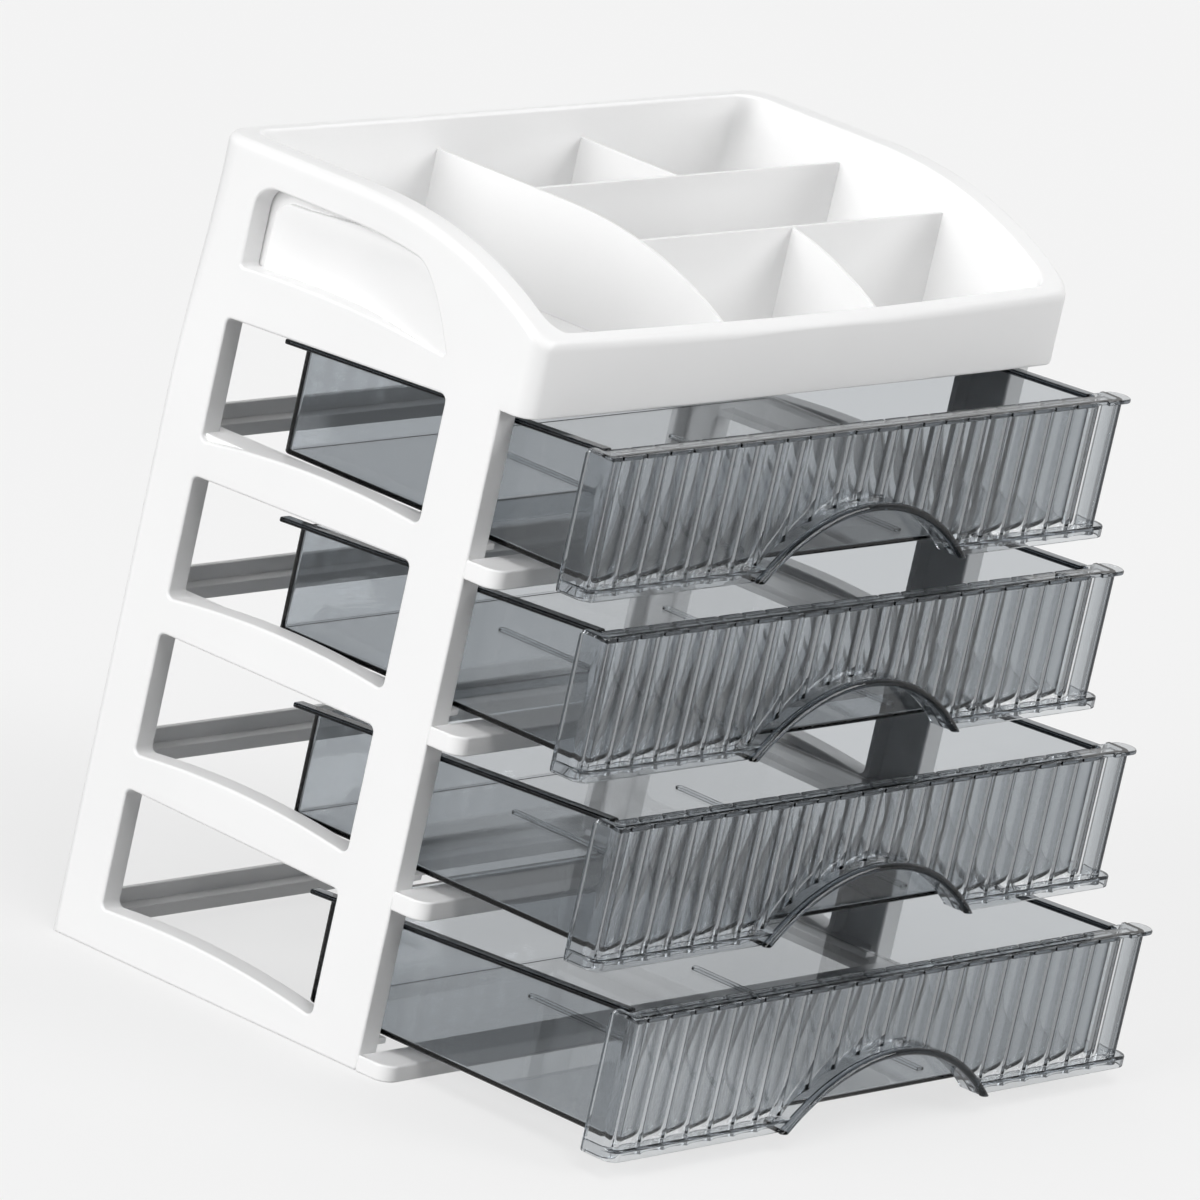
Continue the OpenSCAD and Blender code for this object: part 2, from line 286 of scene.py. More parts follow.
def smoke_plastic(name, density, rough=0.004, tint=(0.22, 0.265, 0.31)):
    """Clear smoky plastic: the tint comes from its thickness, so rims, ribs and edges read darker."""
    mat = bpy.data.materials.new(name)
    nt, out, bsdf, coord = nodes_of(mat)
    haze = noise(nt, coord.outputs["Object"], 45.0, 3.0, 0.6)
    rr = nt.nodes.new("ShaderNodeMapRange")
    rr.inputs["From Min"].default_value = 0.35
    rr.inputs["From Max"].default_value = 0.75
    rr.inputs["To Min"].default_value = rough
    rr.inputs["To Max"].default_value = rough + 0.015
    nt.links.new(haze.outputs["Fac"], rr.inputs["Value"])
    nt.links.new(rr.outputs["Result"], bsdf.inputs["Roughness"])
    wave = noise(nt, coord.outputs["Object"], 30.0, 1.5, 0.4)
    b = nt.nodes.new("ShaderNodeBump")
    b.inputs["Strength"].default_value = 0.01
    b.inputs["Distance"].default_value = 0.0003
    nt.links.new(wave.outputs["Fac"], b.inputs["Height"])
    nt.links.new(b.outputs["Normal"], bsdf.inputs["Normal"])
    bsdf.inputs["Base Color"].default_value = (0.97, 0.98, 0.985, 1)
    bsdf.inputs["Transmission Weight"].default_value = 1.0
    bsdf.inputs["IOR"].default_value = 1.46
    vol = nt.nodes.new("ShaderNodeVolumeAbsorption")
    vol.inputs["Color"].default_value = tint + (1,)
    vol.inputs["Density"].default_value = density
    nt.links.new(vol.outputs["Volume"], out.inputs["Volume"])
    return mat


WHITE = white_plastic("white_satin_plastic", (0.90, 0.90, 0.90), 0.34)
# a darker, rougher copy of the white plastic for the dividers deep in the tray: its lower tone is painted shade
WHITE_SHADED = white_plastic("white_plastic_painted_shade", (0.85, 0.85, 0.85), 0.42)
SMOKE = smoke_plastic("smoky_clear_plastic", 310.0)
SMOKE_F = smoke_plastic("smoky_clear_plastic_front", 190.0)
# a far denser copy of the smoky plastic for the box rims, the pull's bead and the flange dashes: their dark look is
# painted shade
SMOKE_PAINTED_DARK = smoke_plastic("smoky_plastic_painted_dark_edge", 850.0)

# ---------------------------------------------------------------- side panels
def window_loop(k):
    tb = 52.8 + 50.67 * k; tf = 50.9 + 52.7 * k
    sb = tb - 39.5; sf = tf - 41.0
    yf, yb = 32.9, 120.2
    n = 18
    sill = []
    for i in range(1, n):
        u = i / n
        sill.append((yf + (yb - yf) * u, sf + (sb - sf) * u + 3.0 * 4 * u * (1 - u)))
    pts = [(yb, tb), (yf, tf), (yf, sf)] + sill + [(yb, sb)]
    rad = [2.2, 2.2, 2.2] + [0] * len(sill) + [2.2]
    return round_poly(pts, rad, 6)


def recess_loop():
    top = []
    for i in range(0, 19):
        y = 104 - (104 - 54) * i / 18
        top.append((y, arc_z(y) - 11.4))
    for i in range(1, 12):
        u = i / 12
        top.append((54 - 18 * u, 245.4 - 25.4 * u ** 1.6))
    bottom = []
    for i in range(0, 13):
        u = i / 12
        bottom.append((36 + 83 * u, 220 + 1.5 * u + 8 * u * (1 - u)))
    pts = [(119, arc_z(119) - 11.4)] + top + bottom
    rad = [8.0] + [0] * len(top) + [1.2] + [0] * (len(bottom) - 2) + [1.2]
    return round_poly(pts, rad, 8)


def offset_loop(loop, d):
    """Moves a closed outline inwards by d along its corner bisectors."""
    if area(loop) < 0:
        loop = loop[::-1]
    n = len(loop)
    out = []
    for i in range(n):
        a = Vector(loop[i - 1]); p = Vector(loop[i]); b = Vector(loop[(i + 1) % n])
        u = (p - a); v = (b - p)
        if u.length < 1e-9 or v.length < 1e-9:
            out.append(tuple(p)); continue
        u.normalize(); v.normalize()
        n1 = Vector((-u.y, u.x)); n2 = Vector((-v.y, v.x))
        m = n1 + n2
        if m.length < 1e-6:
            m = n1
        m.normalize()
        c = max(0.35, m.dot(n1))
        q = p + m * (d / c)
        out.append((q.x, q.y))
    return out


def panel_outline(d=0.0, top_gap=3.4, r=1.3):
    """Outline of a side panel, drawn in by d all round."""
    y0, y1 = POST_Y + d, D - 0.03 - d
    top = []
    for i in range(0, 41):
        y = y1 - (y1 - y0) * i / 40
        top.append((y, arc_z(y) - top_gap - d))
    return round_poly([(y0, d), (y1, d)] + top, [r, r] + [0] * len(top), 4)


def corner_cutter():
    """What the rounded back edge of a panel leaves out: a small radius low down, a large one under the rim."""
    x0, y1, m = 0.03, D - 0.03, 10
    levels = [-6.0, 60.0, 120.0, 175.0] + [175.0 + 3.2 * i for i in range(1, 26)] + [270.0]
    verts, faces = [], []
    for z in levels:
        u = max(0.0, min(1.0, (z - 178.0) / 74.0))
        r = 2.8 + 6.2 * u * u * (3 - 2 * u)
        ring = []
        for i in range(m + 1):
            q = math.pi - math.pi / 2 * i / m
            ring.append((x0 + r + r * math.cos(q), y1 - r + r * math.sin(q), z))
        ring += [(x0 + r, y1 + 4, z), (x0 - 4, y1 + 4, z), (x0 - 4, y1 - r, z)]
        verts += ring
    n = m + 4
    for j in range(len(levels) - 1):
        for i in range(n):
            k = (i + 1) % n
            faces.append((j * n + i, j * n + k, (j + 1) * n + k, (j + 1) * n + i))
    faces.append(tuple(range(n))[::-1])
    faces.append(tuple((len(levels) - 1) * n + i for i in range(n)))
    return clean(mesh_from("corner", verts, faces), 0.0005)


def side_panel(name):
    """Full-depth plate with rounded edges, pocketed from the inside, with the runner ribs of the drawers."""
    holes = [window_loop(k) for k in range(4)] + [recess_loop()]
    full = plate(name, panel_outline(), holes, 0.03, PANEL_T, 0.9, "YZ", 4)
    pocket = plate(name + "_pk", panel_outline(2.6), [offset_loop(h, -2.4) for h in holes], 2.6, PANEL_T + 3, 0.3, "YZ", 2)
    me = boolean(full, [pocket, corner_cutter()], "DIFFERENCE")
    ribs = []
    for k in range(4):
        z = rail_top(k) + 1.6
        run = [(POST_Y + 1, z), (D - 7, z), (D - 7, z + 2), (POST_Y + 1, z + 2)]
        ribs.append(plate(name + "_run", round_poly(run, 0.4, 3), [], 2.2, PANEL_T + 4.6, 0.35, "YZ", 2))
    return boolean(me, ribs, "UNION")


left = side_panel("left_panel")
right_src = left.copy()
for v in right_src.vertices:
    v.co.x = W - v.co.x
right_src.flip_normals()
piece("left_side_panel_shell", finish_mesh(left), "cabinet", "left_side_panel", WHITE)
piece("right_side_panel_shell", finish_mesh(right_src), "cabinet", "right_side_panel", WHITE)


# ---------------------------------------------------------------- top tray
def loop_points(x0, x1, y0, y1, rf, rb, bow=0.0, step_y=None):
    """Closed loop, counter-clockwise from the front left, with the same number of points for any size."""
    pts = []
    NF, NC, NS = 48, 14, 60

    def bowed(x, y):
        u = (x - x0) / (x1 - x0)
        return (x, y - bow * 4 * u * (1 - u))
    for i in range(NF):
        pts.append(bowed(x0 + rf + (x1 - x0 - 2 * rf) * i / NF, y0))
    for i in range(NC):
        a = -math.pi / 2 + math.pi / 2 * i / NC
        pts.append(bowed(x1 - rf + rf * math.cos(a), y0 + rf + rf * math.sin(a)))
    ys = side_ys(y0 + rf, y1 - rb, NS, step_y)
    for y in ys:
        pts.append((x1, y))
    for i in range(NC):
        a = math.pi / 2 * i / NC
        pts.append((x1 - rb + rb * math.cos(a), y1 - rb + rb * math.sin(a)))
    for i in range(NF):
        pts.append((x1 - rb - (x1 - x0 - 2 * rb) * i / NF, y1))
    for i in range(NC):
        a = math.pi / 2 + math.pi / 2 * i / NC
        pts.append((x0 + rb + rb * math.cos(a), y1 - rb + rb * math.sin(a)))
    for y in ys[::-1]:
        pts.append((x0, y))
    for i in range(NC):
        a = math.pi + math.pi / 2 * i / NC
        pts.append(bowed(x0 + rf + rf * math.cos(a), y0 + rf + rf * math.sin(a)))
    return pts


def side_ys(a, b, n, step):
    if step is None:
        return [a + (b - a) * i / (n + 1) for i in range(n + 2)]
    m = 6
    first = [a + (step - a) * i / m for i in range(m + 1)]
    rest = [step + 0.01 + (b - step - 0.01) * i / (n - m) for i in range(n - m + 1)]
    return first + rest


def tray_mesh():
    outer = loop_points(0, W, FASCIA_Y, D, 6.0, 9.0, 1.6, POST_Y + 1.3)
    inner = loop_points(RIM_W, W - RIM_W, TRAY_FRONT, D - RIM_BACK, 7.0, 7.5, 1.2, None)
    assert len(outer) == len(inner)
    n = len(outer)
    cols = []
    R_O, R_I, R_F = 3.0, 1.1, 2.2
    for i in range(n):
        o = Vector(outer[i]); q = Vector(inner[i])
        u = (q - o); w = u.length; u.normalize()
        ro = min(R_O, w * 0.62)
        ri = min(R_I, w * 0.3)
        front = o.y <= POST_Y + 1.301
        zb = TRAY_Z + 0.0 if front else arc_z(o.y) - 5.2
        rows = []
        tx = min(max(o.x, PANEL_T + 0.25), W - PANEL_T - 0.25)
        t = Vector((tx, o.y)) if not front else o.copy()
        if front:
            rows.append((o.x + u.x * 0.8, o.y + u.y * 0.8, TRAY_Z))
            rows.append((o.x + u.x * 0.25, o.y + u.y * 0.25, TRAY_Z + 0.22))
            rows.append((o.x, o.y, TRAY_Z + 0.8))
        else:
            rows.append((t.x, t.y, TRAY_Z))
            rows.append((t.x, t.y, zb))
            rows.append((o.x, o.y, zb))
        zt0 = arc_z(o.y)
        for j in range(1, 4):
            z = zb + (zt0 - ro - zb) * j / 4
            rows.append((o.x, o.y, max(z, rows[-1][2])))
        for j in range(0, 9):
            a = math.pi / 2 * j / 8
            p = o + u * (ro * (1 - math.cos(a)))
            rows.append((p.x, p.y, arc_z(p.y) - ro * (1 - math.sin(a))))
        for j in range(1, 4):
            p = o + u * (ro + (w - ro - ri) * j / 4)
            rows.append((p.x, p.y, arc_z(p.y)))
        for j in range(0, 5):
            a = math.pi / 2 * j / 4
            p = o + u * (w - ri + ri * math.sin(a))
            rows.append((p.x, p.y, arc_z(p.y) - ri * (1 - math.cos(a))))
        zi = arc_z(q.y) - ri
        zf = TRAY_Z + TRAY_FLOOR
        for j in range(1, 6):
            f = j / 5
            p = q + u * (0.5 * f)
            rows.append((p.x, p.y, zi + (zf + R_F - zi) * f))
        for j in range(1, 6):
            a = math.pi / 2 * j / 5
            p = q + u * (0.5 + R_F * (1 - math.cos(a)))
            rows.append((p.x, p.y, zf + R_F - R_F * math.sin(a)))
        cols.append(rows)
    m = len(cols[0])
    verts = [p for c in cols for p in c]
    faces = []
    for i in range(n):
        k = (i + 1) % n
        for j in range(m - 1):
            faces.append((i * m + j, k * m + j, k * m + j + 1, i * m + j + 1))
    faces.append(tuple(i * m + m - 1 for i in range(n)))
    faces.append(tuple(i * m for i in range(n))[::-1])
    return clean(mesh_from("tray", verts, faces), 0.0005)


def recess_pad():
    """The raised field of the tray wall seen through the grip recess, set off by a groove behind and above."""
    top = []
    for i in range(0, 25):
        y = 104 - (104 - 54) * i / 24
        g = max(0.0, min(1.0, (y - 60.0) / 48.0))
        top.append((y, arc_z(y) - 11.2 - 4.8 * g))
    for i in range(1, 12):
        u = i / 12
        top.append((54 - 18.6 * u, 245.6 - 25.4 * u ** 1.6))
    pts = [(35.0, 219.0), (115.6, 219.0), (115.6, arc_z(115.6) - 16.0)] + top
    loop = round_poly(pts, [0.9, 0.9, 6.5] + [0] * len(top), 8)
    me = plate("pad", loop, [], 6.9, 9.9, 0.6, "YZ", 3)
    bm = bmesh.new()
    bm.from_mesh(me)
    for y in range(38, 84, 3):
        bmesh.ops.bisect_plane(bm, geom=bm.verts[:] + bm.edges[:] + bm.faces[:], plane_co=(0, y, 0), plane_no=(0, 1, 0))
    bmesh.ops.triangulate(bm, faces=bm.faces)
    for v in bm.verts:
        if v.co.x < 9.0:
            u = max(0.0, min(1.0, (82.0 - v.co.y) / 44.0))
            u = u * u * (3 - 2 * u)
            v.co.x += (9.0 - v.co.x) / 2.1 * -6.1 * u if v.co.x > 6.9 else -6.1 * u
    bm.to_mesh(me)
    bm.free()
    return me


def joined(name, meshes):
    verts, faces = [], []
    for me in meshes:
        base = len(verts)
        verts += [tuple(v.co) for v in me.vertices]
        faces += [tuple(i + base for i in p.vertices) for p in me.polygons]
    return mesh_from(name, verts, faces)


pad_left = recess_pad()
pad_right = pad_left.copy()
for v in pad_right.vertices:
    v.co.x = W - v.co.x
pad_right.flip_normals()
piece("top_tray_shell", finish_mesh(joined("tray_all", [tray_mesh(), pad_left, pad_right]), 40), "cabinet", "top_tray", WHITE)


# ---------------------------------------------------------------- dividers
def long_outline(y0, y1, drop=10.4):
    top = []
    for i in range(31):
        y = y1 + (y0 - y1) * i / 30
        top.append((y, arc_z(y) - drop))
    return [(y0, TRAY_Z + TRAY_FLOOR), (y1, TRAY_Z + TRAY_FLOOR)] + top


def divider_yz(name, node, x, y0, y1):
    me = plate(name, long_outline(y0, y1), [], x - 0.65, x + 0.65, 0.28, "YZ", 2)
    piece(name, finish_mesh(me), "cabinet", node, WHITE_SHADED)


def divider_xz(name, node, x0, x1, y):
    zt = arc_z(y) - 10.4
    me = plate(name, [(x0, TRAY_Z + TRAY_FLOOR), (x1, TRAY_Z + TRAY_FLOOR), (x1, zt), (x0, zt)], [], y - 0.65, y + 0.65, 0.28, "XZ", 2)
    piece(name, finish_mesh(me), "cabinet", node, WHITE_SHADED)


# the dividers carry the darker copy of the white plastic, painted shade
divider_yz("long_divider_plate", "long_divider", 104.0, 5.0, D - RIM_BACK)
divider_xz("rear_cross_divider_plate", "rear_cross_divider", 104.4, W - RIM_W, 94.0)
divider_xz("front_cross_divider_plate", "front_cross_divider", 104.4, W - RIM_W, 51.0)
divider_yz("rear_short_divider_plate", "rear_short_divider", 176.0, 94.4, D - RIM_BACK)
divider_yz("front_short_divider_plate", "front_short_divider", 181.5, 5.0, 50.6)


# ---------------------------------------------------------------- front rails and rear crossbars
def rail_mesh(k, t):
    z1 = rail_top(k)
    outline = round_poly([(0, 0), (W, 0), (W, POST_Y), (0, POST_Y)], [RAIL_R, RAIL_R, 0.3, 0.3], 10)
    me = plate("rail", outline, [], z1 - t, z1, 0.7, "XY", 3)
    return me


for node, k, t in (("base_front_rail", 0, 5.4), ("lower_front_rail", 1, RAIL_T), ("middle_front_rail", 2, RAIL_T), ("upper_front_rail", 3, RAIL_T)):
    piece(node + "_bar", finish_mesh(rail_mesh(k, t)), "cabinet", node, WHITE)

for node, k in (("base_rear_crossbar", 0), ("lower_rear_crossbar", 1), ("middle_rear_crossbar", 2), ("upper_rear_crossbar", 3)):
    z = rail_top(k)
    z = z - 2.2
    sec = [(131.5, z - 1.4), (133.5, z - 1.4), (133.5, z + 1), (D, z + 1), (D, z + 7.9), (136, z + 7.9), (136, z + 3), (131.5, z + 3)]
    me = plate(node, round_poly(sec, 0.4, 3), [], PANEL_T - 0.3, W - PANEL_T + 0.3, 0.2, "YZ", 2)
    piece(node + "_bar", finish_mesh(me), "cabinet", node, WHITE)

# ---------------------------------------------------------------- drawers, drawn shut with their rail top at height zero
BOX_X, BOX_RIM_X, BOX_F, BOX_B, BOX_Z = 12.6, 9.8, 4.8, 127.8, 4.0
HB, HF = 39.0, 45.4
FLANGE_Z = 44.4
ARCH_X, ARCH_R, ARCH_RISE, ARCH_OUT = 138.5, 76.0, 21.4, 5.0


def rim_line(y):
    return HF + (HB - HF) * (y - 8.3) / (BOX_B - 8.3)


def rounded_rect(x0, y0, x1, y1, r, seg=6):
    return round_poly([(x0, y0), (x1, y0), (x1, y1), (x0, y1)], r, seg)


def with_edges(name, main, edges):
    """Joins the edge shells to a thin-walled body, as shells of their own with the second material: the denser smoke,
    painted shade that darkens the edges.
    """
    n = len(main.polygons)
    me = joined(name, [main] + edges)
    for p in me.polygons:
        p.material_index = 1 if p.index >= n else 0
    return me


def box_mesh():
    wall = 1.6
    outer = plate("bo", rounded_rect(BOX_X, BOX_F, W - BOX_X, BOX_B, 2.4), [], BOX_Z, 60.0, 0.9, "XY", 3)
    inner = plate("bi", rounded_rect(BOX_X + wall, BOX_F + 1.0, W - BOX_X - wall, BOX_B - wall, 1.5), [], BOX_Z + 1.25, 62.0, 0.7, "XY", 3)
    cut = prism("bc", [(-40, FLANGE_Z - 0.15), (8.2, FLANGE_Z - 0.15), (8.2, rim_line(8.2) - 1.65), (260, rim_line(260) - 1.65), (260, 90), (-40, 90)], -10, W + 10, "YZ")
    me = boolean(outer, [inner, cut], "DIFFERENCE")
    me = boolean(me, [floor_rib(93.0), floor_rib(175.0)], "UNION")
    return with_edges("drawer_box_mesh", me, [rim_strip(BOX_RIM_X, BOX_X + 1.6), rim_strip(W - BOX_X - 1.6, W - BOX_RIM_X)])


# the rim strips are shells of the denser smoke: the rims are real, their darkness is painted shade
def rim_strip(x0, x1):
    y1 = BOX_B + 5.6
    pts = [(8.3, rim_line(8.3) - 1.6), (y1, rim_line(y1) - 1.6), (y1, rim_line(y1)), (8.3, rim_line(8.3))]
    return plate("rs", round_poly(pts, 0.5, 3), [], x0, x1, 0.45, "YZ", 3)


def floor_rib(x):
    """A low double line on the drawer floor, joined by a round end at the back."""
    outer = round_poly([(x - 1.6, 12), (x + 1.6, 12), (x + 1.6, 104), (x - 1.6, 104)], [0.3, 0.3, 1.59, 1.59], 6)
    inner = round_poly([(x - 0.9, 12.7), (x + 0.9, 12.7), (x + 0.9, 103.3), (x - 0.9, 103.3)], [0.2, 0.2, 0.89, 0.89], 6)
    return plate("fr", outer, [inner], BOX_Z + 0.9, BOX_Z + 2.1, 0.15, "XY", 2)


def flute_outline():
    pitch, n = 11.5, 23
    x0 = W / 2 - pitch * (n - 1) / 2
    pts = [(6.0, 9.3), (4.0, 9.3)]
    # rounded outer corner
    for i in range(9):
        a = math.pi + math.pi / 2 * i / 8
        pts.append((4.0 + 3.6 + 3.6 * math.cos(a), 3.6 + 3.6 * math.sin(a)))
    seg = 14
    for i in range(n):
        xr = x0 + pitch * i
        e = 0.22
        if i > 0:
            for j in range(4):
                q = math.pi + math.pi / 2 * j / 4
                pts.append((xr - 0.5 + e + e * math.cos(q), e + e * math.sin(q)))
        if i > 0 and i < n - 1:
            pts.append((xr - 0.5 + e, 0.0))
            pts.append((xr, 0.0))
        if i < n - 1:
            for j in range(4):
                q = -math.pi / 2 + math.pi / 2 * j / 4
                pts.append((xr + 0.5 - e + e * math.cos(q), e + e * math.sin(q)))
            for j in range(seg + 1):
                u = j / seg
                pts.append((xr + 0.5 + (pitch - 1.0) * u, e + (1.1 - e) * (1 - (2 * u - 1) ** 2) ** 0.8))
    for i in range(9):
        a = -math.pi / 2 + math.pi / 2 * i / 8
        pts.append((W - 4.0 - 3.6 + 3.6 * math.cos(a), 3.6 + 3.6 * math.sin(a)))
    pts += [(W - 4.0, 9.3), (W - 6.0, 9.3)]
    for i in range(5):
        a = -math.pi / 2 * i / 4
        pts.append((W - 6.0 - 1.6 + 1.6 * math.cos(a), 1.9 + 1.6 + 1.6 * math.sin(a)))
    for i in range(5):
        a = -math.pi / 2 - math.pi / 2 * i / 4
        pts.append((6.0 + 1.6 + 1.6 * math.cos(a), 1.9 + 1.6 + 1.6 * math.sin(a)))
    return pts


def cylinder_y(x, z, r, y0, y1, n=180):
    return prism("cy", [(x + r * math.cos(2 * math.pi * i / n), z + r * math.sin(2 * math.pi * i / n)) for i in range(n)], y0, y1, "XZ")


def arch_mesh(bead):
    """The arched shell of the pull, or the round bead along its front edge, swept along the arc. The bead is a shell of
    the denser smoke, painted shade for its dark look.
    """
    zc = 0.8 + ARCH_RISE - ARCH_R
    r_in, r_out = ARCH_R - 2.0, ARCH_R
    sec = []
    yb, yf = BOX_F - 0.05, -ARCH_OUT
    er = 1.3
    if bead:
        for i in range(20):
            a = -2 * math.pi * i / 20
            sec.append((r_in + 1.0 + er * math.cos(a), yf + er + er * math.sin(a)))
    else:
        sec = [(r_in, yb), (r_in, yf + 2.66), (r_out, yf + 2.66), (r_out, yb)]
    half = math.acos((0.8 - zc) / ARCH_R) + 0.03
    n = 90
    verts, faces = [], []
    m = len(sec)
    for i in range(n + 1):
        a = -half + 2 * half * i / n
        for r, y in sec:
            verts.append((ARCH_X + r * math.sin(a), y, zc + r * math.cos(a)))
    for i in range(n):
        for j in range(m):
            k = (j + 1) % m
            faces.append((i * m + j, i * m + k, (i + 1) * m + k, (i + 1) * m + j))
    faces.append(tuple(range(m))[::-1])
    faces.append(tuple(n * m + j for j in range(m)))
    me = clean(mesh_from("arch", verts, faces), 0.0005)
    low = prism("low", [(0, -60), (W, -60), (W, 0.8), (0, 0.8)], -40, 60, "XZ")
    return boolean(me, [low], "DIFFERENCE")


def flange_outline():
    fl = [(4, 0.15), (W - 14.2, 0.15), (W - 14.2, -0.8), (W - 4.4, -0.8)]
    for i in range(1, 16):
        a = -math.pi / 2 + math.pi * i / 16
        fl.append((W - 4.4 + 4.4 * math.cos(a), 3.6 + 4.4 * math.sin(a)))
    fl += [(W - 4.4, 8.0), (W - 14, 8.0), (W - 14, 5.6), (7.4, 5.6), (7.4, 9.5), (4, 9.5)]
    rad = [0.6, 0, 0.6] + [0] * 17 + [0.8, 0.6, 0.6, 0.8, 0.8]
    return round_poly(fl, rad, 4)


def edge_dashes():
    """The row of short thick bars along the front and rear edge of the flange, and the end edges of the front: bars of
    the denser smoke, painted shade that draws the dark dashes of these edges.
    """
    out = []
    for i in range(-1, 22):
        xa = W / 2 - 11.5 * 11 + 11.5 * i + 0.5
        xb = xa + 10.5
        xa = max(xa, 4.1)
        if xb > W - 14.2:
            continue
        for ya, yb in ((-0.8, 0.1), (5.66, 6.3)):
            if ya > 0 and i == -1:
                continue
            out.append(plate("dash", round_poly([(xa, ya), (xb, ya), (xb, yb), (xa, yb)], 0.28, 3), [], FLANGE_Z + 0.1, FLANGE_Z + 1.4, 0.22, "XY", 2))
    for xa in (4.1, W - 5.9):
        out.append(plate("end", round_poly([(xa, 9.36), (xa + 1.8, 9.36), (xa + 1.8, 10.3), (xa, 10.3)], 0.4, 3), [], 1.2, FLANGE_Z - 0.1, 0.22, "XY", 2))
    return out


def flange_cells():
    """Shallow cells in the underside of the flange, one behind the wall for every flute."""
    out = []
    for i in range(22):
        xa = W / 2 - 11.5 * 11 + 11.5 * i + 0.7
        xb = xa + 10.1
        for ya, yb in ((1.6, 4.9),):
            out.append(prism("cell", [(xa, ya), (xb, ya), (xb, yb), (xa, yb)], FLANGE_Z - 1.0, FLANGE_Z + 0.75, "XY"))
    return out


def front_mesh():
    zc = 0.8 + ARCH_RISE - ARCH_R
    wall = prism("fl", flute_outline(), 1.2, FLANGE_Z + 0.95, "XY")
    plinth_o = round_poly([(3, -3), (W - 2.5, -3), (W - 2.5, 9.5), (3, 9.5)], [4.5, 4.5, 0.6, 0.6], 8)
    plinth_h = round_poly([(4.9, 1.6), (W - 4.9, 1.6), (W - 4.9, 30), (4.9, 30)], [1.2, 1.2, 0, 0], 5)
    plinth = plate("pl", plinth_o, [], 0.8, 4.8, 0.6, "XY", 4)
    hole = prism("ph", plinth_h, -5, 20, "XY")
    under = prism("pu", round_poly([(4.2, -1.8), (W - 3.7, -1.8), (W - 3.7, 8.2), (4.2, 8.2)], [3.3, 3.3, 0, 0], 8), -5, 3.5, "XY")
    plinth = boolean(plinth, [hole, under], "DIFFERENCE")
    wall = boolean(wall, [cylinder_y(ARCH_X, zc, ARCH_R - 1, -30, 30, 240)], "DIFFERENCE")
    plinth = boolean(plinth, [cylinder_y(ARCH_X, zc, ARCH_R - 1, -30, 30, 240)], "DIFFERENCE")
    flange = plate("fg", flange_outline(), [], FLANGE_Z, FLANGE_Z + 1.4, 0.5, "XY", 4)
    flange = boolean(flange, [joined("cells", flange_cells())], "DIFFERENCE")
    body = boolean(wall, [plinth, arch_mesh(False), flange], "UNION")
    return with_edges("drawer_front_mesh", body, [arch_mesh(True)] + edge_dashes())


box_all = box_mesh()
front_all = front_mesh()
for me in (box_all, front_all):
    for v in me.vertices:
        v.co = to_frame(*v.co)
    shade(me, 28)

for d in (1, 2, 3, 4):
    off = Vector((0, -OPENS[d] / 1000, rail_top(LEVEL[d]) / 1000))
    for src, nm, node, mat in ((box_all, "tub", "drawer_box_%d" % d, SMOKE), (front_all, "fluted_front", "drawer_front_%d" % d, SMOKE_F)):
        me = src.copy()
        me.transform(Matrix.Translation(off))
        me.name = "drawer_%d_%s" % (d, nm)
        second = [p.material_index for p in me.polygons]
        ob = piece("drawer_%d_%s" % (d, nm), me, "drawer_%d" % d, node, mat, weighted=True)
        # the second slot is the denser smoke, painted shade on the edge shells
        me.materials.append(SMOKE_PAINTED_DARK)
        me.polygons.foreach_set("material_index", second)

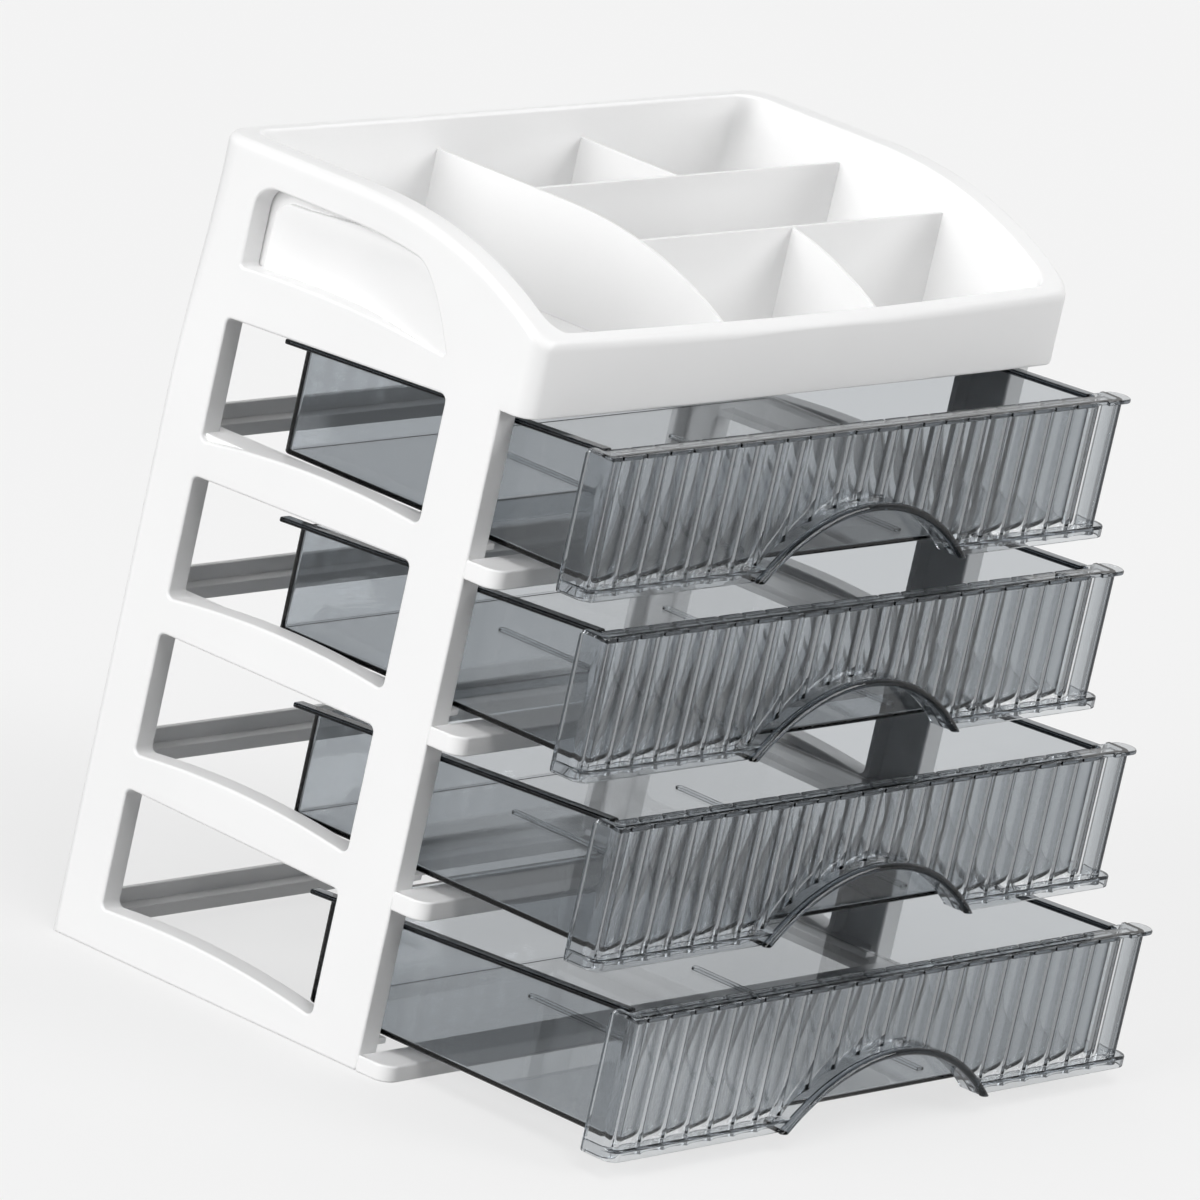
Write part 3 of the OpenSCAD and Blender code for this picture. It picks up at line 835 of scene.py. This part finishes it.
# ---------------------------------------------------------------- floor, light, camera
def floor():
    s = 30.0
    n = 24
    verts = [((i / n - 0.5) * 2 * s, (j / n - 0.5) * 2 * s, 0) for i in range(n + 1) for j in range(n + 1)]
    faces = [(i * (n + 1) + j, (i + 1) * (n + 1) + j, (i + 1) * (n + 1) + j + 1, i * (n + 1) + j + 1) for i in range(n) for j in range(n)]
    ob = new_object("studio_floor", mesh_from("studio_floor", verts, faces))
    mat = bpy.data.materials.new("studio_floor")
    nt, out, bsdf, coord = nodes_of(mat)
    nn = noise(nt, coord.outputs["Object"], 3.0, 2.0, 0.5)
    cr = ramp(nt, nn.outputs["Fac"], [(0.3, (0.218, 0.218, 0.218, 1)), (0.7, (0.222, 0.222, 0.222, 1))])
    nt.links.new(cr.outputs["Color"], bsdf.inputs["Base Color"])
    bsdf.inputs["Roughness"].default_value = 0.9
    bsdf.inputs["Specular IOR Level"].default_value = 0.0
    bsdf.inputs["Emission Color"].default_value = (1, 1, 1, 1)
    path = nt.nodes.new("ShaderNodeLightPath")
    glow = nt.nodes.new("ShaderNodeMapRange")
    glow.inputs["To Min"].default_value = 0.682
    glow.inputs["To Max"].default_value = 0.19
    nt.links.new(path.outputs["Is Diffuse Ray"], glow.inputs["Value"])
    # in reflections the floor is dim, with a painted reflection: one bright glowing patch at the front left, seen only
    # in reflections
    way = nt.nodes.new("ShaderNodeVectorMath")
    way.operation = "NORMALIZE"
    nt.links.new(coord.outputs["Object"], way.inputs[0])
    side = nt.nodes.new("ShaderNodeVectorMath")
    side.operation = "DOT_PRODUCT"
    side.inputs[1].default_value = tuple(Vector((-0.57, -0.78, 0.0)).normalized())
    nt.links.new(way.outputs["Vector"], side.inputs[0])
    painted_reflection_patch = nt.nodes.new("ShaderNodeMapRange")
    painted_reflection_patch.interpolation_type = "SMOOTHSTEP"
    painted_reflection_patch.inputs["From Min"].default_value = 0.60
    painted_reflection_patch.inputs["From Max"].default_value = 0.88
    painted_reflection_patch.inputs["To Min"].default_value = 0.28
    painted_reflection_patch.inputs["To Max"].default_value = 0.62
    nt.links.new(side.outputs["Value"], painted_reflection_patch.inputs["Value"])
    seen = nt.nodes.new("ShaderNodeMath")
    seen.operation = "GREATER_THAN"
    seen.inputs[1].default_value = 0.5
    nt.links.new(path.outputs["Glossy Depth"], seen.inputs[0])
    mix = nt.nodes.new("ShaderNodeMix")
    mix.data_type = "FLOAT"
    nt.links.new(seen.outputs["Value"], mix.inputs[0])
    nt.links.new(glow.outputs["Result"], mix.inputs[2])
    nt.links.new(painted_reflection_patch.outputs["Result"], mix.inputs[3])
    nt.links.new(mix.outputs[0], bsdf.inputs["Emission Strength"])
    ob.data.materials.append(mat)
    return ob


floor()
scene = bpy.context.scene
world = bpy.data.worlds.new("studio")
scene.world = world
world.use_nodes = True
nt = world.node_tree
nt.nodes.clear()
wo = nt.nodes.new("ShaderNodeOutputWorld")
bg = nt.nodes.new("ShaderNodeBackground")
tc = nt.nodes.new("ShaderNodeTexCoord")
dot = nt.nodes.new("ShaderNodeVectorMath")
dot.operation = "DOT_PRODUCT"
dot.inputs[1].default_value = tuple(Vector((0.80, 0.58, 0.15)).normalized())
nt.links.new(tc.outputs["Generated"], dot.inputs[0])
mr = nt.nodes.new("ShaderNodeMapRange")
mr.interpolation_type = "SMOOTHSTEP"
mr.inputs["From Min"].default_value = -0.05
mr.inputs["From Max"].default_value = 0.85
mr.inputs["To Min"].default_value = 0.06
mr.inputs["To Max"].default_value = 0.66
nt.links.new(dot.outputs["Value"], mr.inputs["Value"])
nt.links.new(mr.outputs["Result"], bg.inputs["Color"])
bg.inputs["Strength"].default_value = 1.0
nt.links.new(bg.outputs["Background"], wo.inputs["Surface"])


def sun(name, towards, irradiance, angle):
    """A broad, even light: towards points at the light, irradiance is over pi on a facing surface."""
    li = bpy.data.lights.new(name, "SUN")
    li.energy = irradiance * math.pi
    li.angle = math.radians(angle)
    ob = bpy.data.objects.new(name, li)
    col.objects.link(ob)
    ob.rotation_mode = "QUATERNION"
    ob.rotation_quaternion = (-Vector(towards)).to_track_quat("-Z", "Y")
    ob.location = Vector(towards).normalized() * 2.0
    return ob


sun("key_left", (-0.62, 0.05, 0.20), 0.73, 34)
sun("front_top", (-0.30, -0.34, 0.89), 0.37, 35)
sun("fill_front_right", (0.5, -0.7, 0.35), 0.48, 36)

# camera: solved from the photograph's straight edges
C = (-2737.9358376329546, -2012.4566318304633, 1080.0759114545126)
yaw, pitch, roll = 0.9462728683095813, 0.26369850886760365, 0.2189657455090905
fwd = Vector((math.sin(yaw) * math.cos(pitch), math.cos(yaw) * math.cos(pitch), -math.sin(pitch)))
rgt = Vector((math.cos(yaw), -math.sin(yaw), 0))
up = rgt.cross(fwd)
r2 = rgt * math.cos(roll) + up * math.sin(roll)
u2 = -rgt * math.sin(roll) + up * math.cos(roll)
cam_data = bpy.data.cameras.new("camera")
cam = bpy.data.objects.new("camera", cam_data)
col.objects.link(cam)
m = Matrix.Identity(4)
for i in range(3):
    m[i][0], m[i][1], m[i][2] = r2[i], u2[i], -fwd[i]
loc = to_frame(*C)
for i in range(3):
    m[i][3] = loc[i]
cam.matrix_world = m
cam_data.sensor_width = 36.0
cam_data.lens = 11796.85482017906 / 1200 * 36.0
cam_data.clip_start, cam_data.clip_end = 0.1, 200
scene.camera = cam

scene.view_settings.view_transform = "Standard"
scene.view_settings.look = "None"
scene.cycles.max_bounces = 32
scene.cycles.transmission_bounces = 32
scene.cycles.transparent_max_bounces = 32
scene.cycles.glossy_bounces = 8
scene.cycles.diffuse_bounces = 5
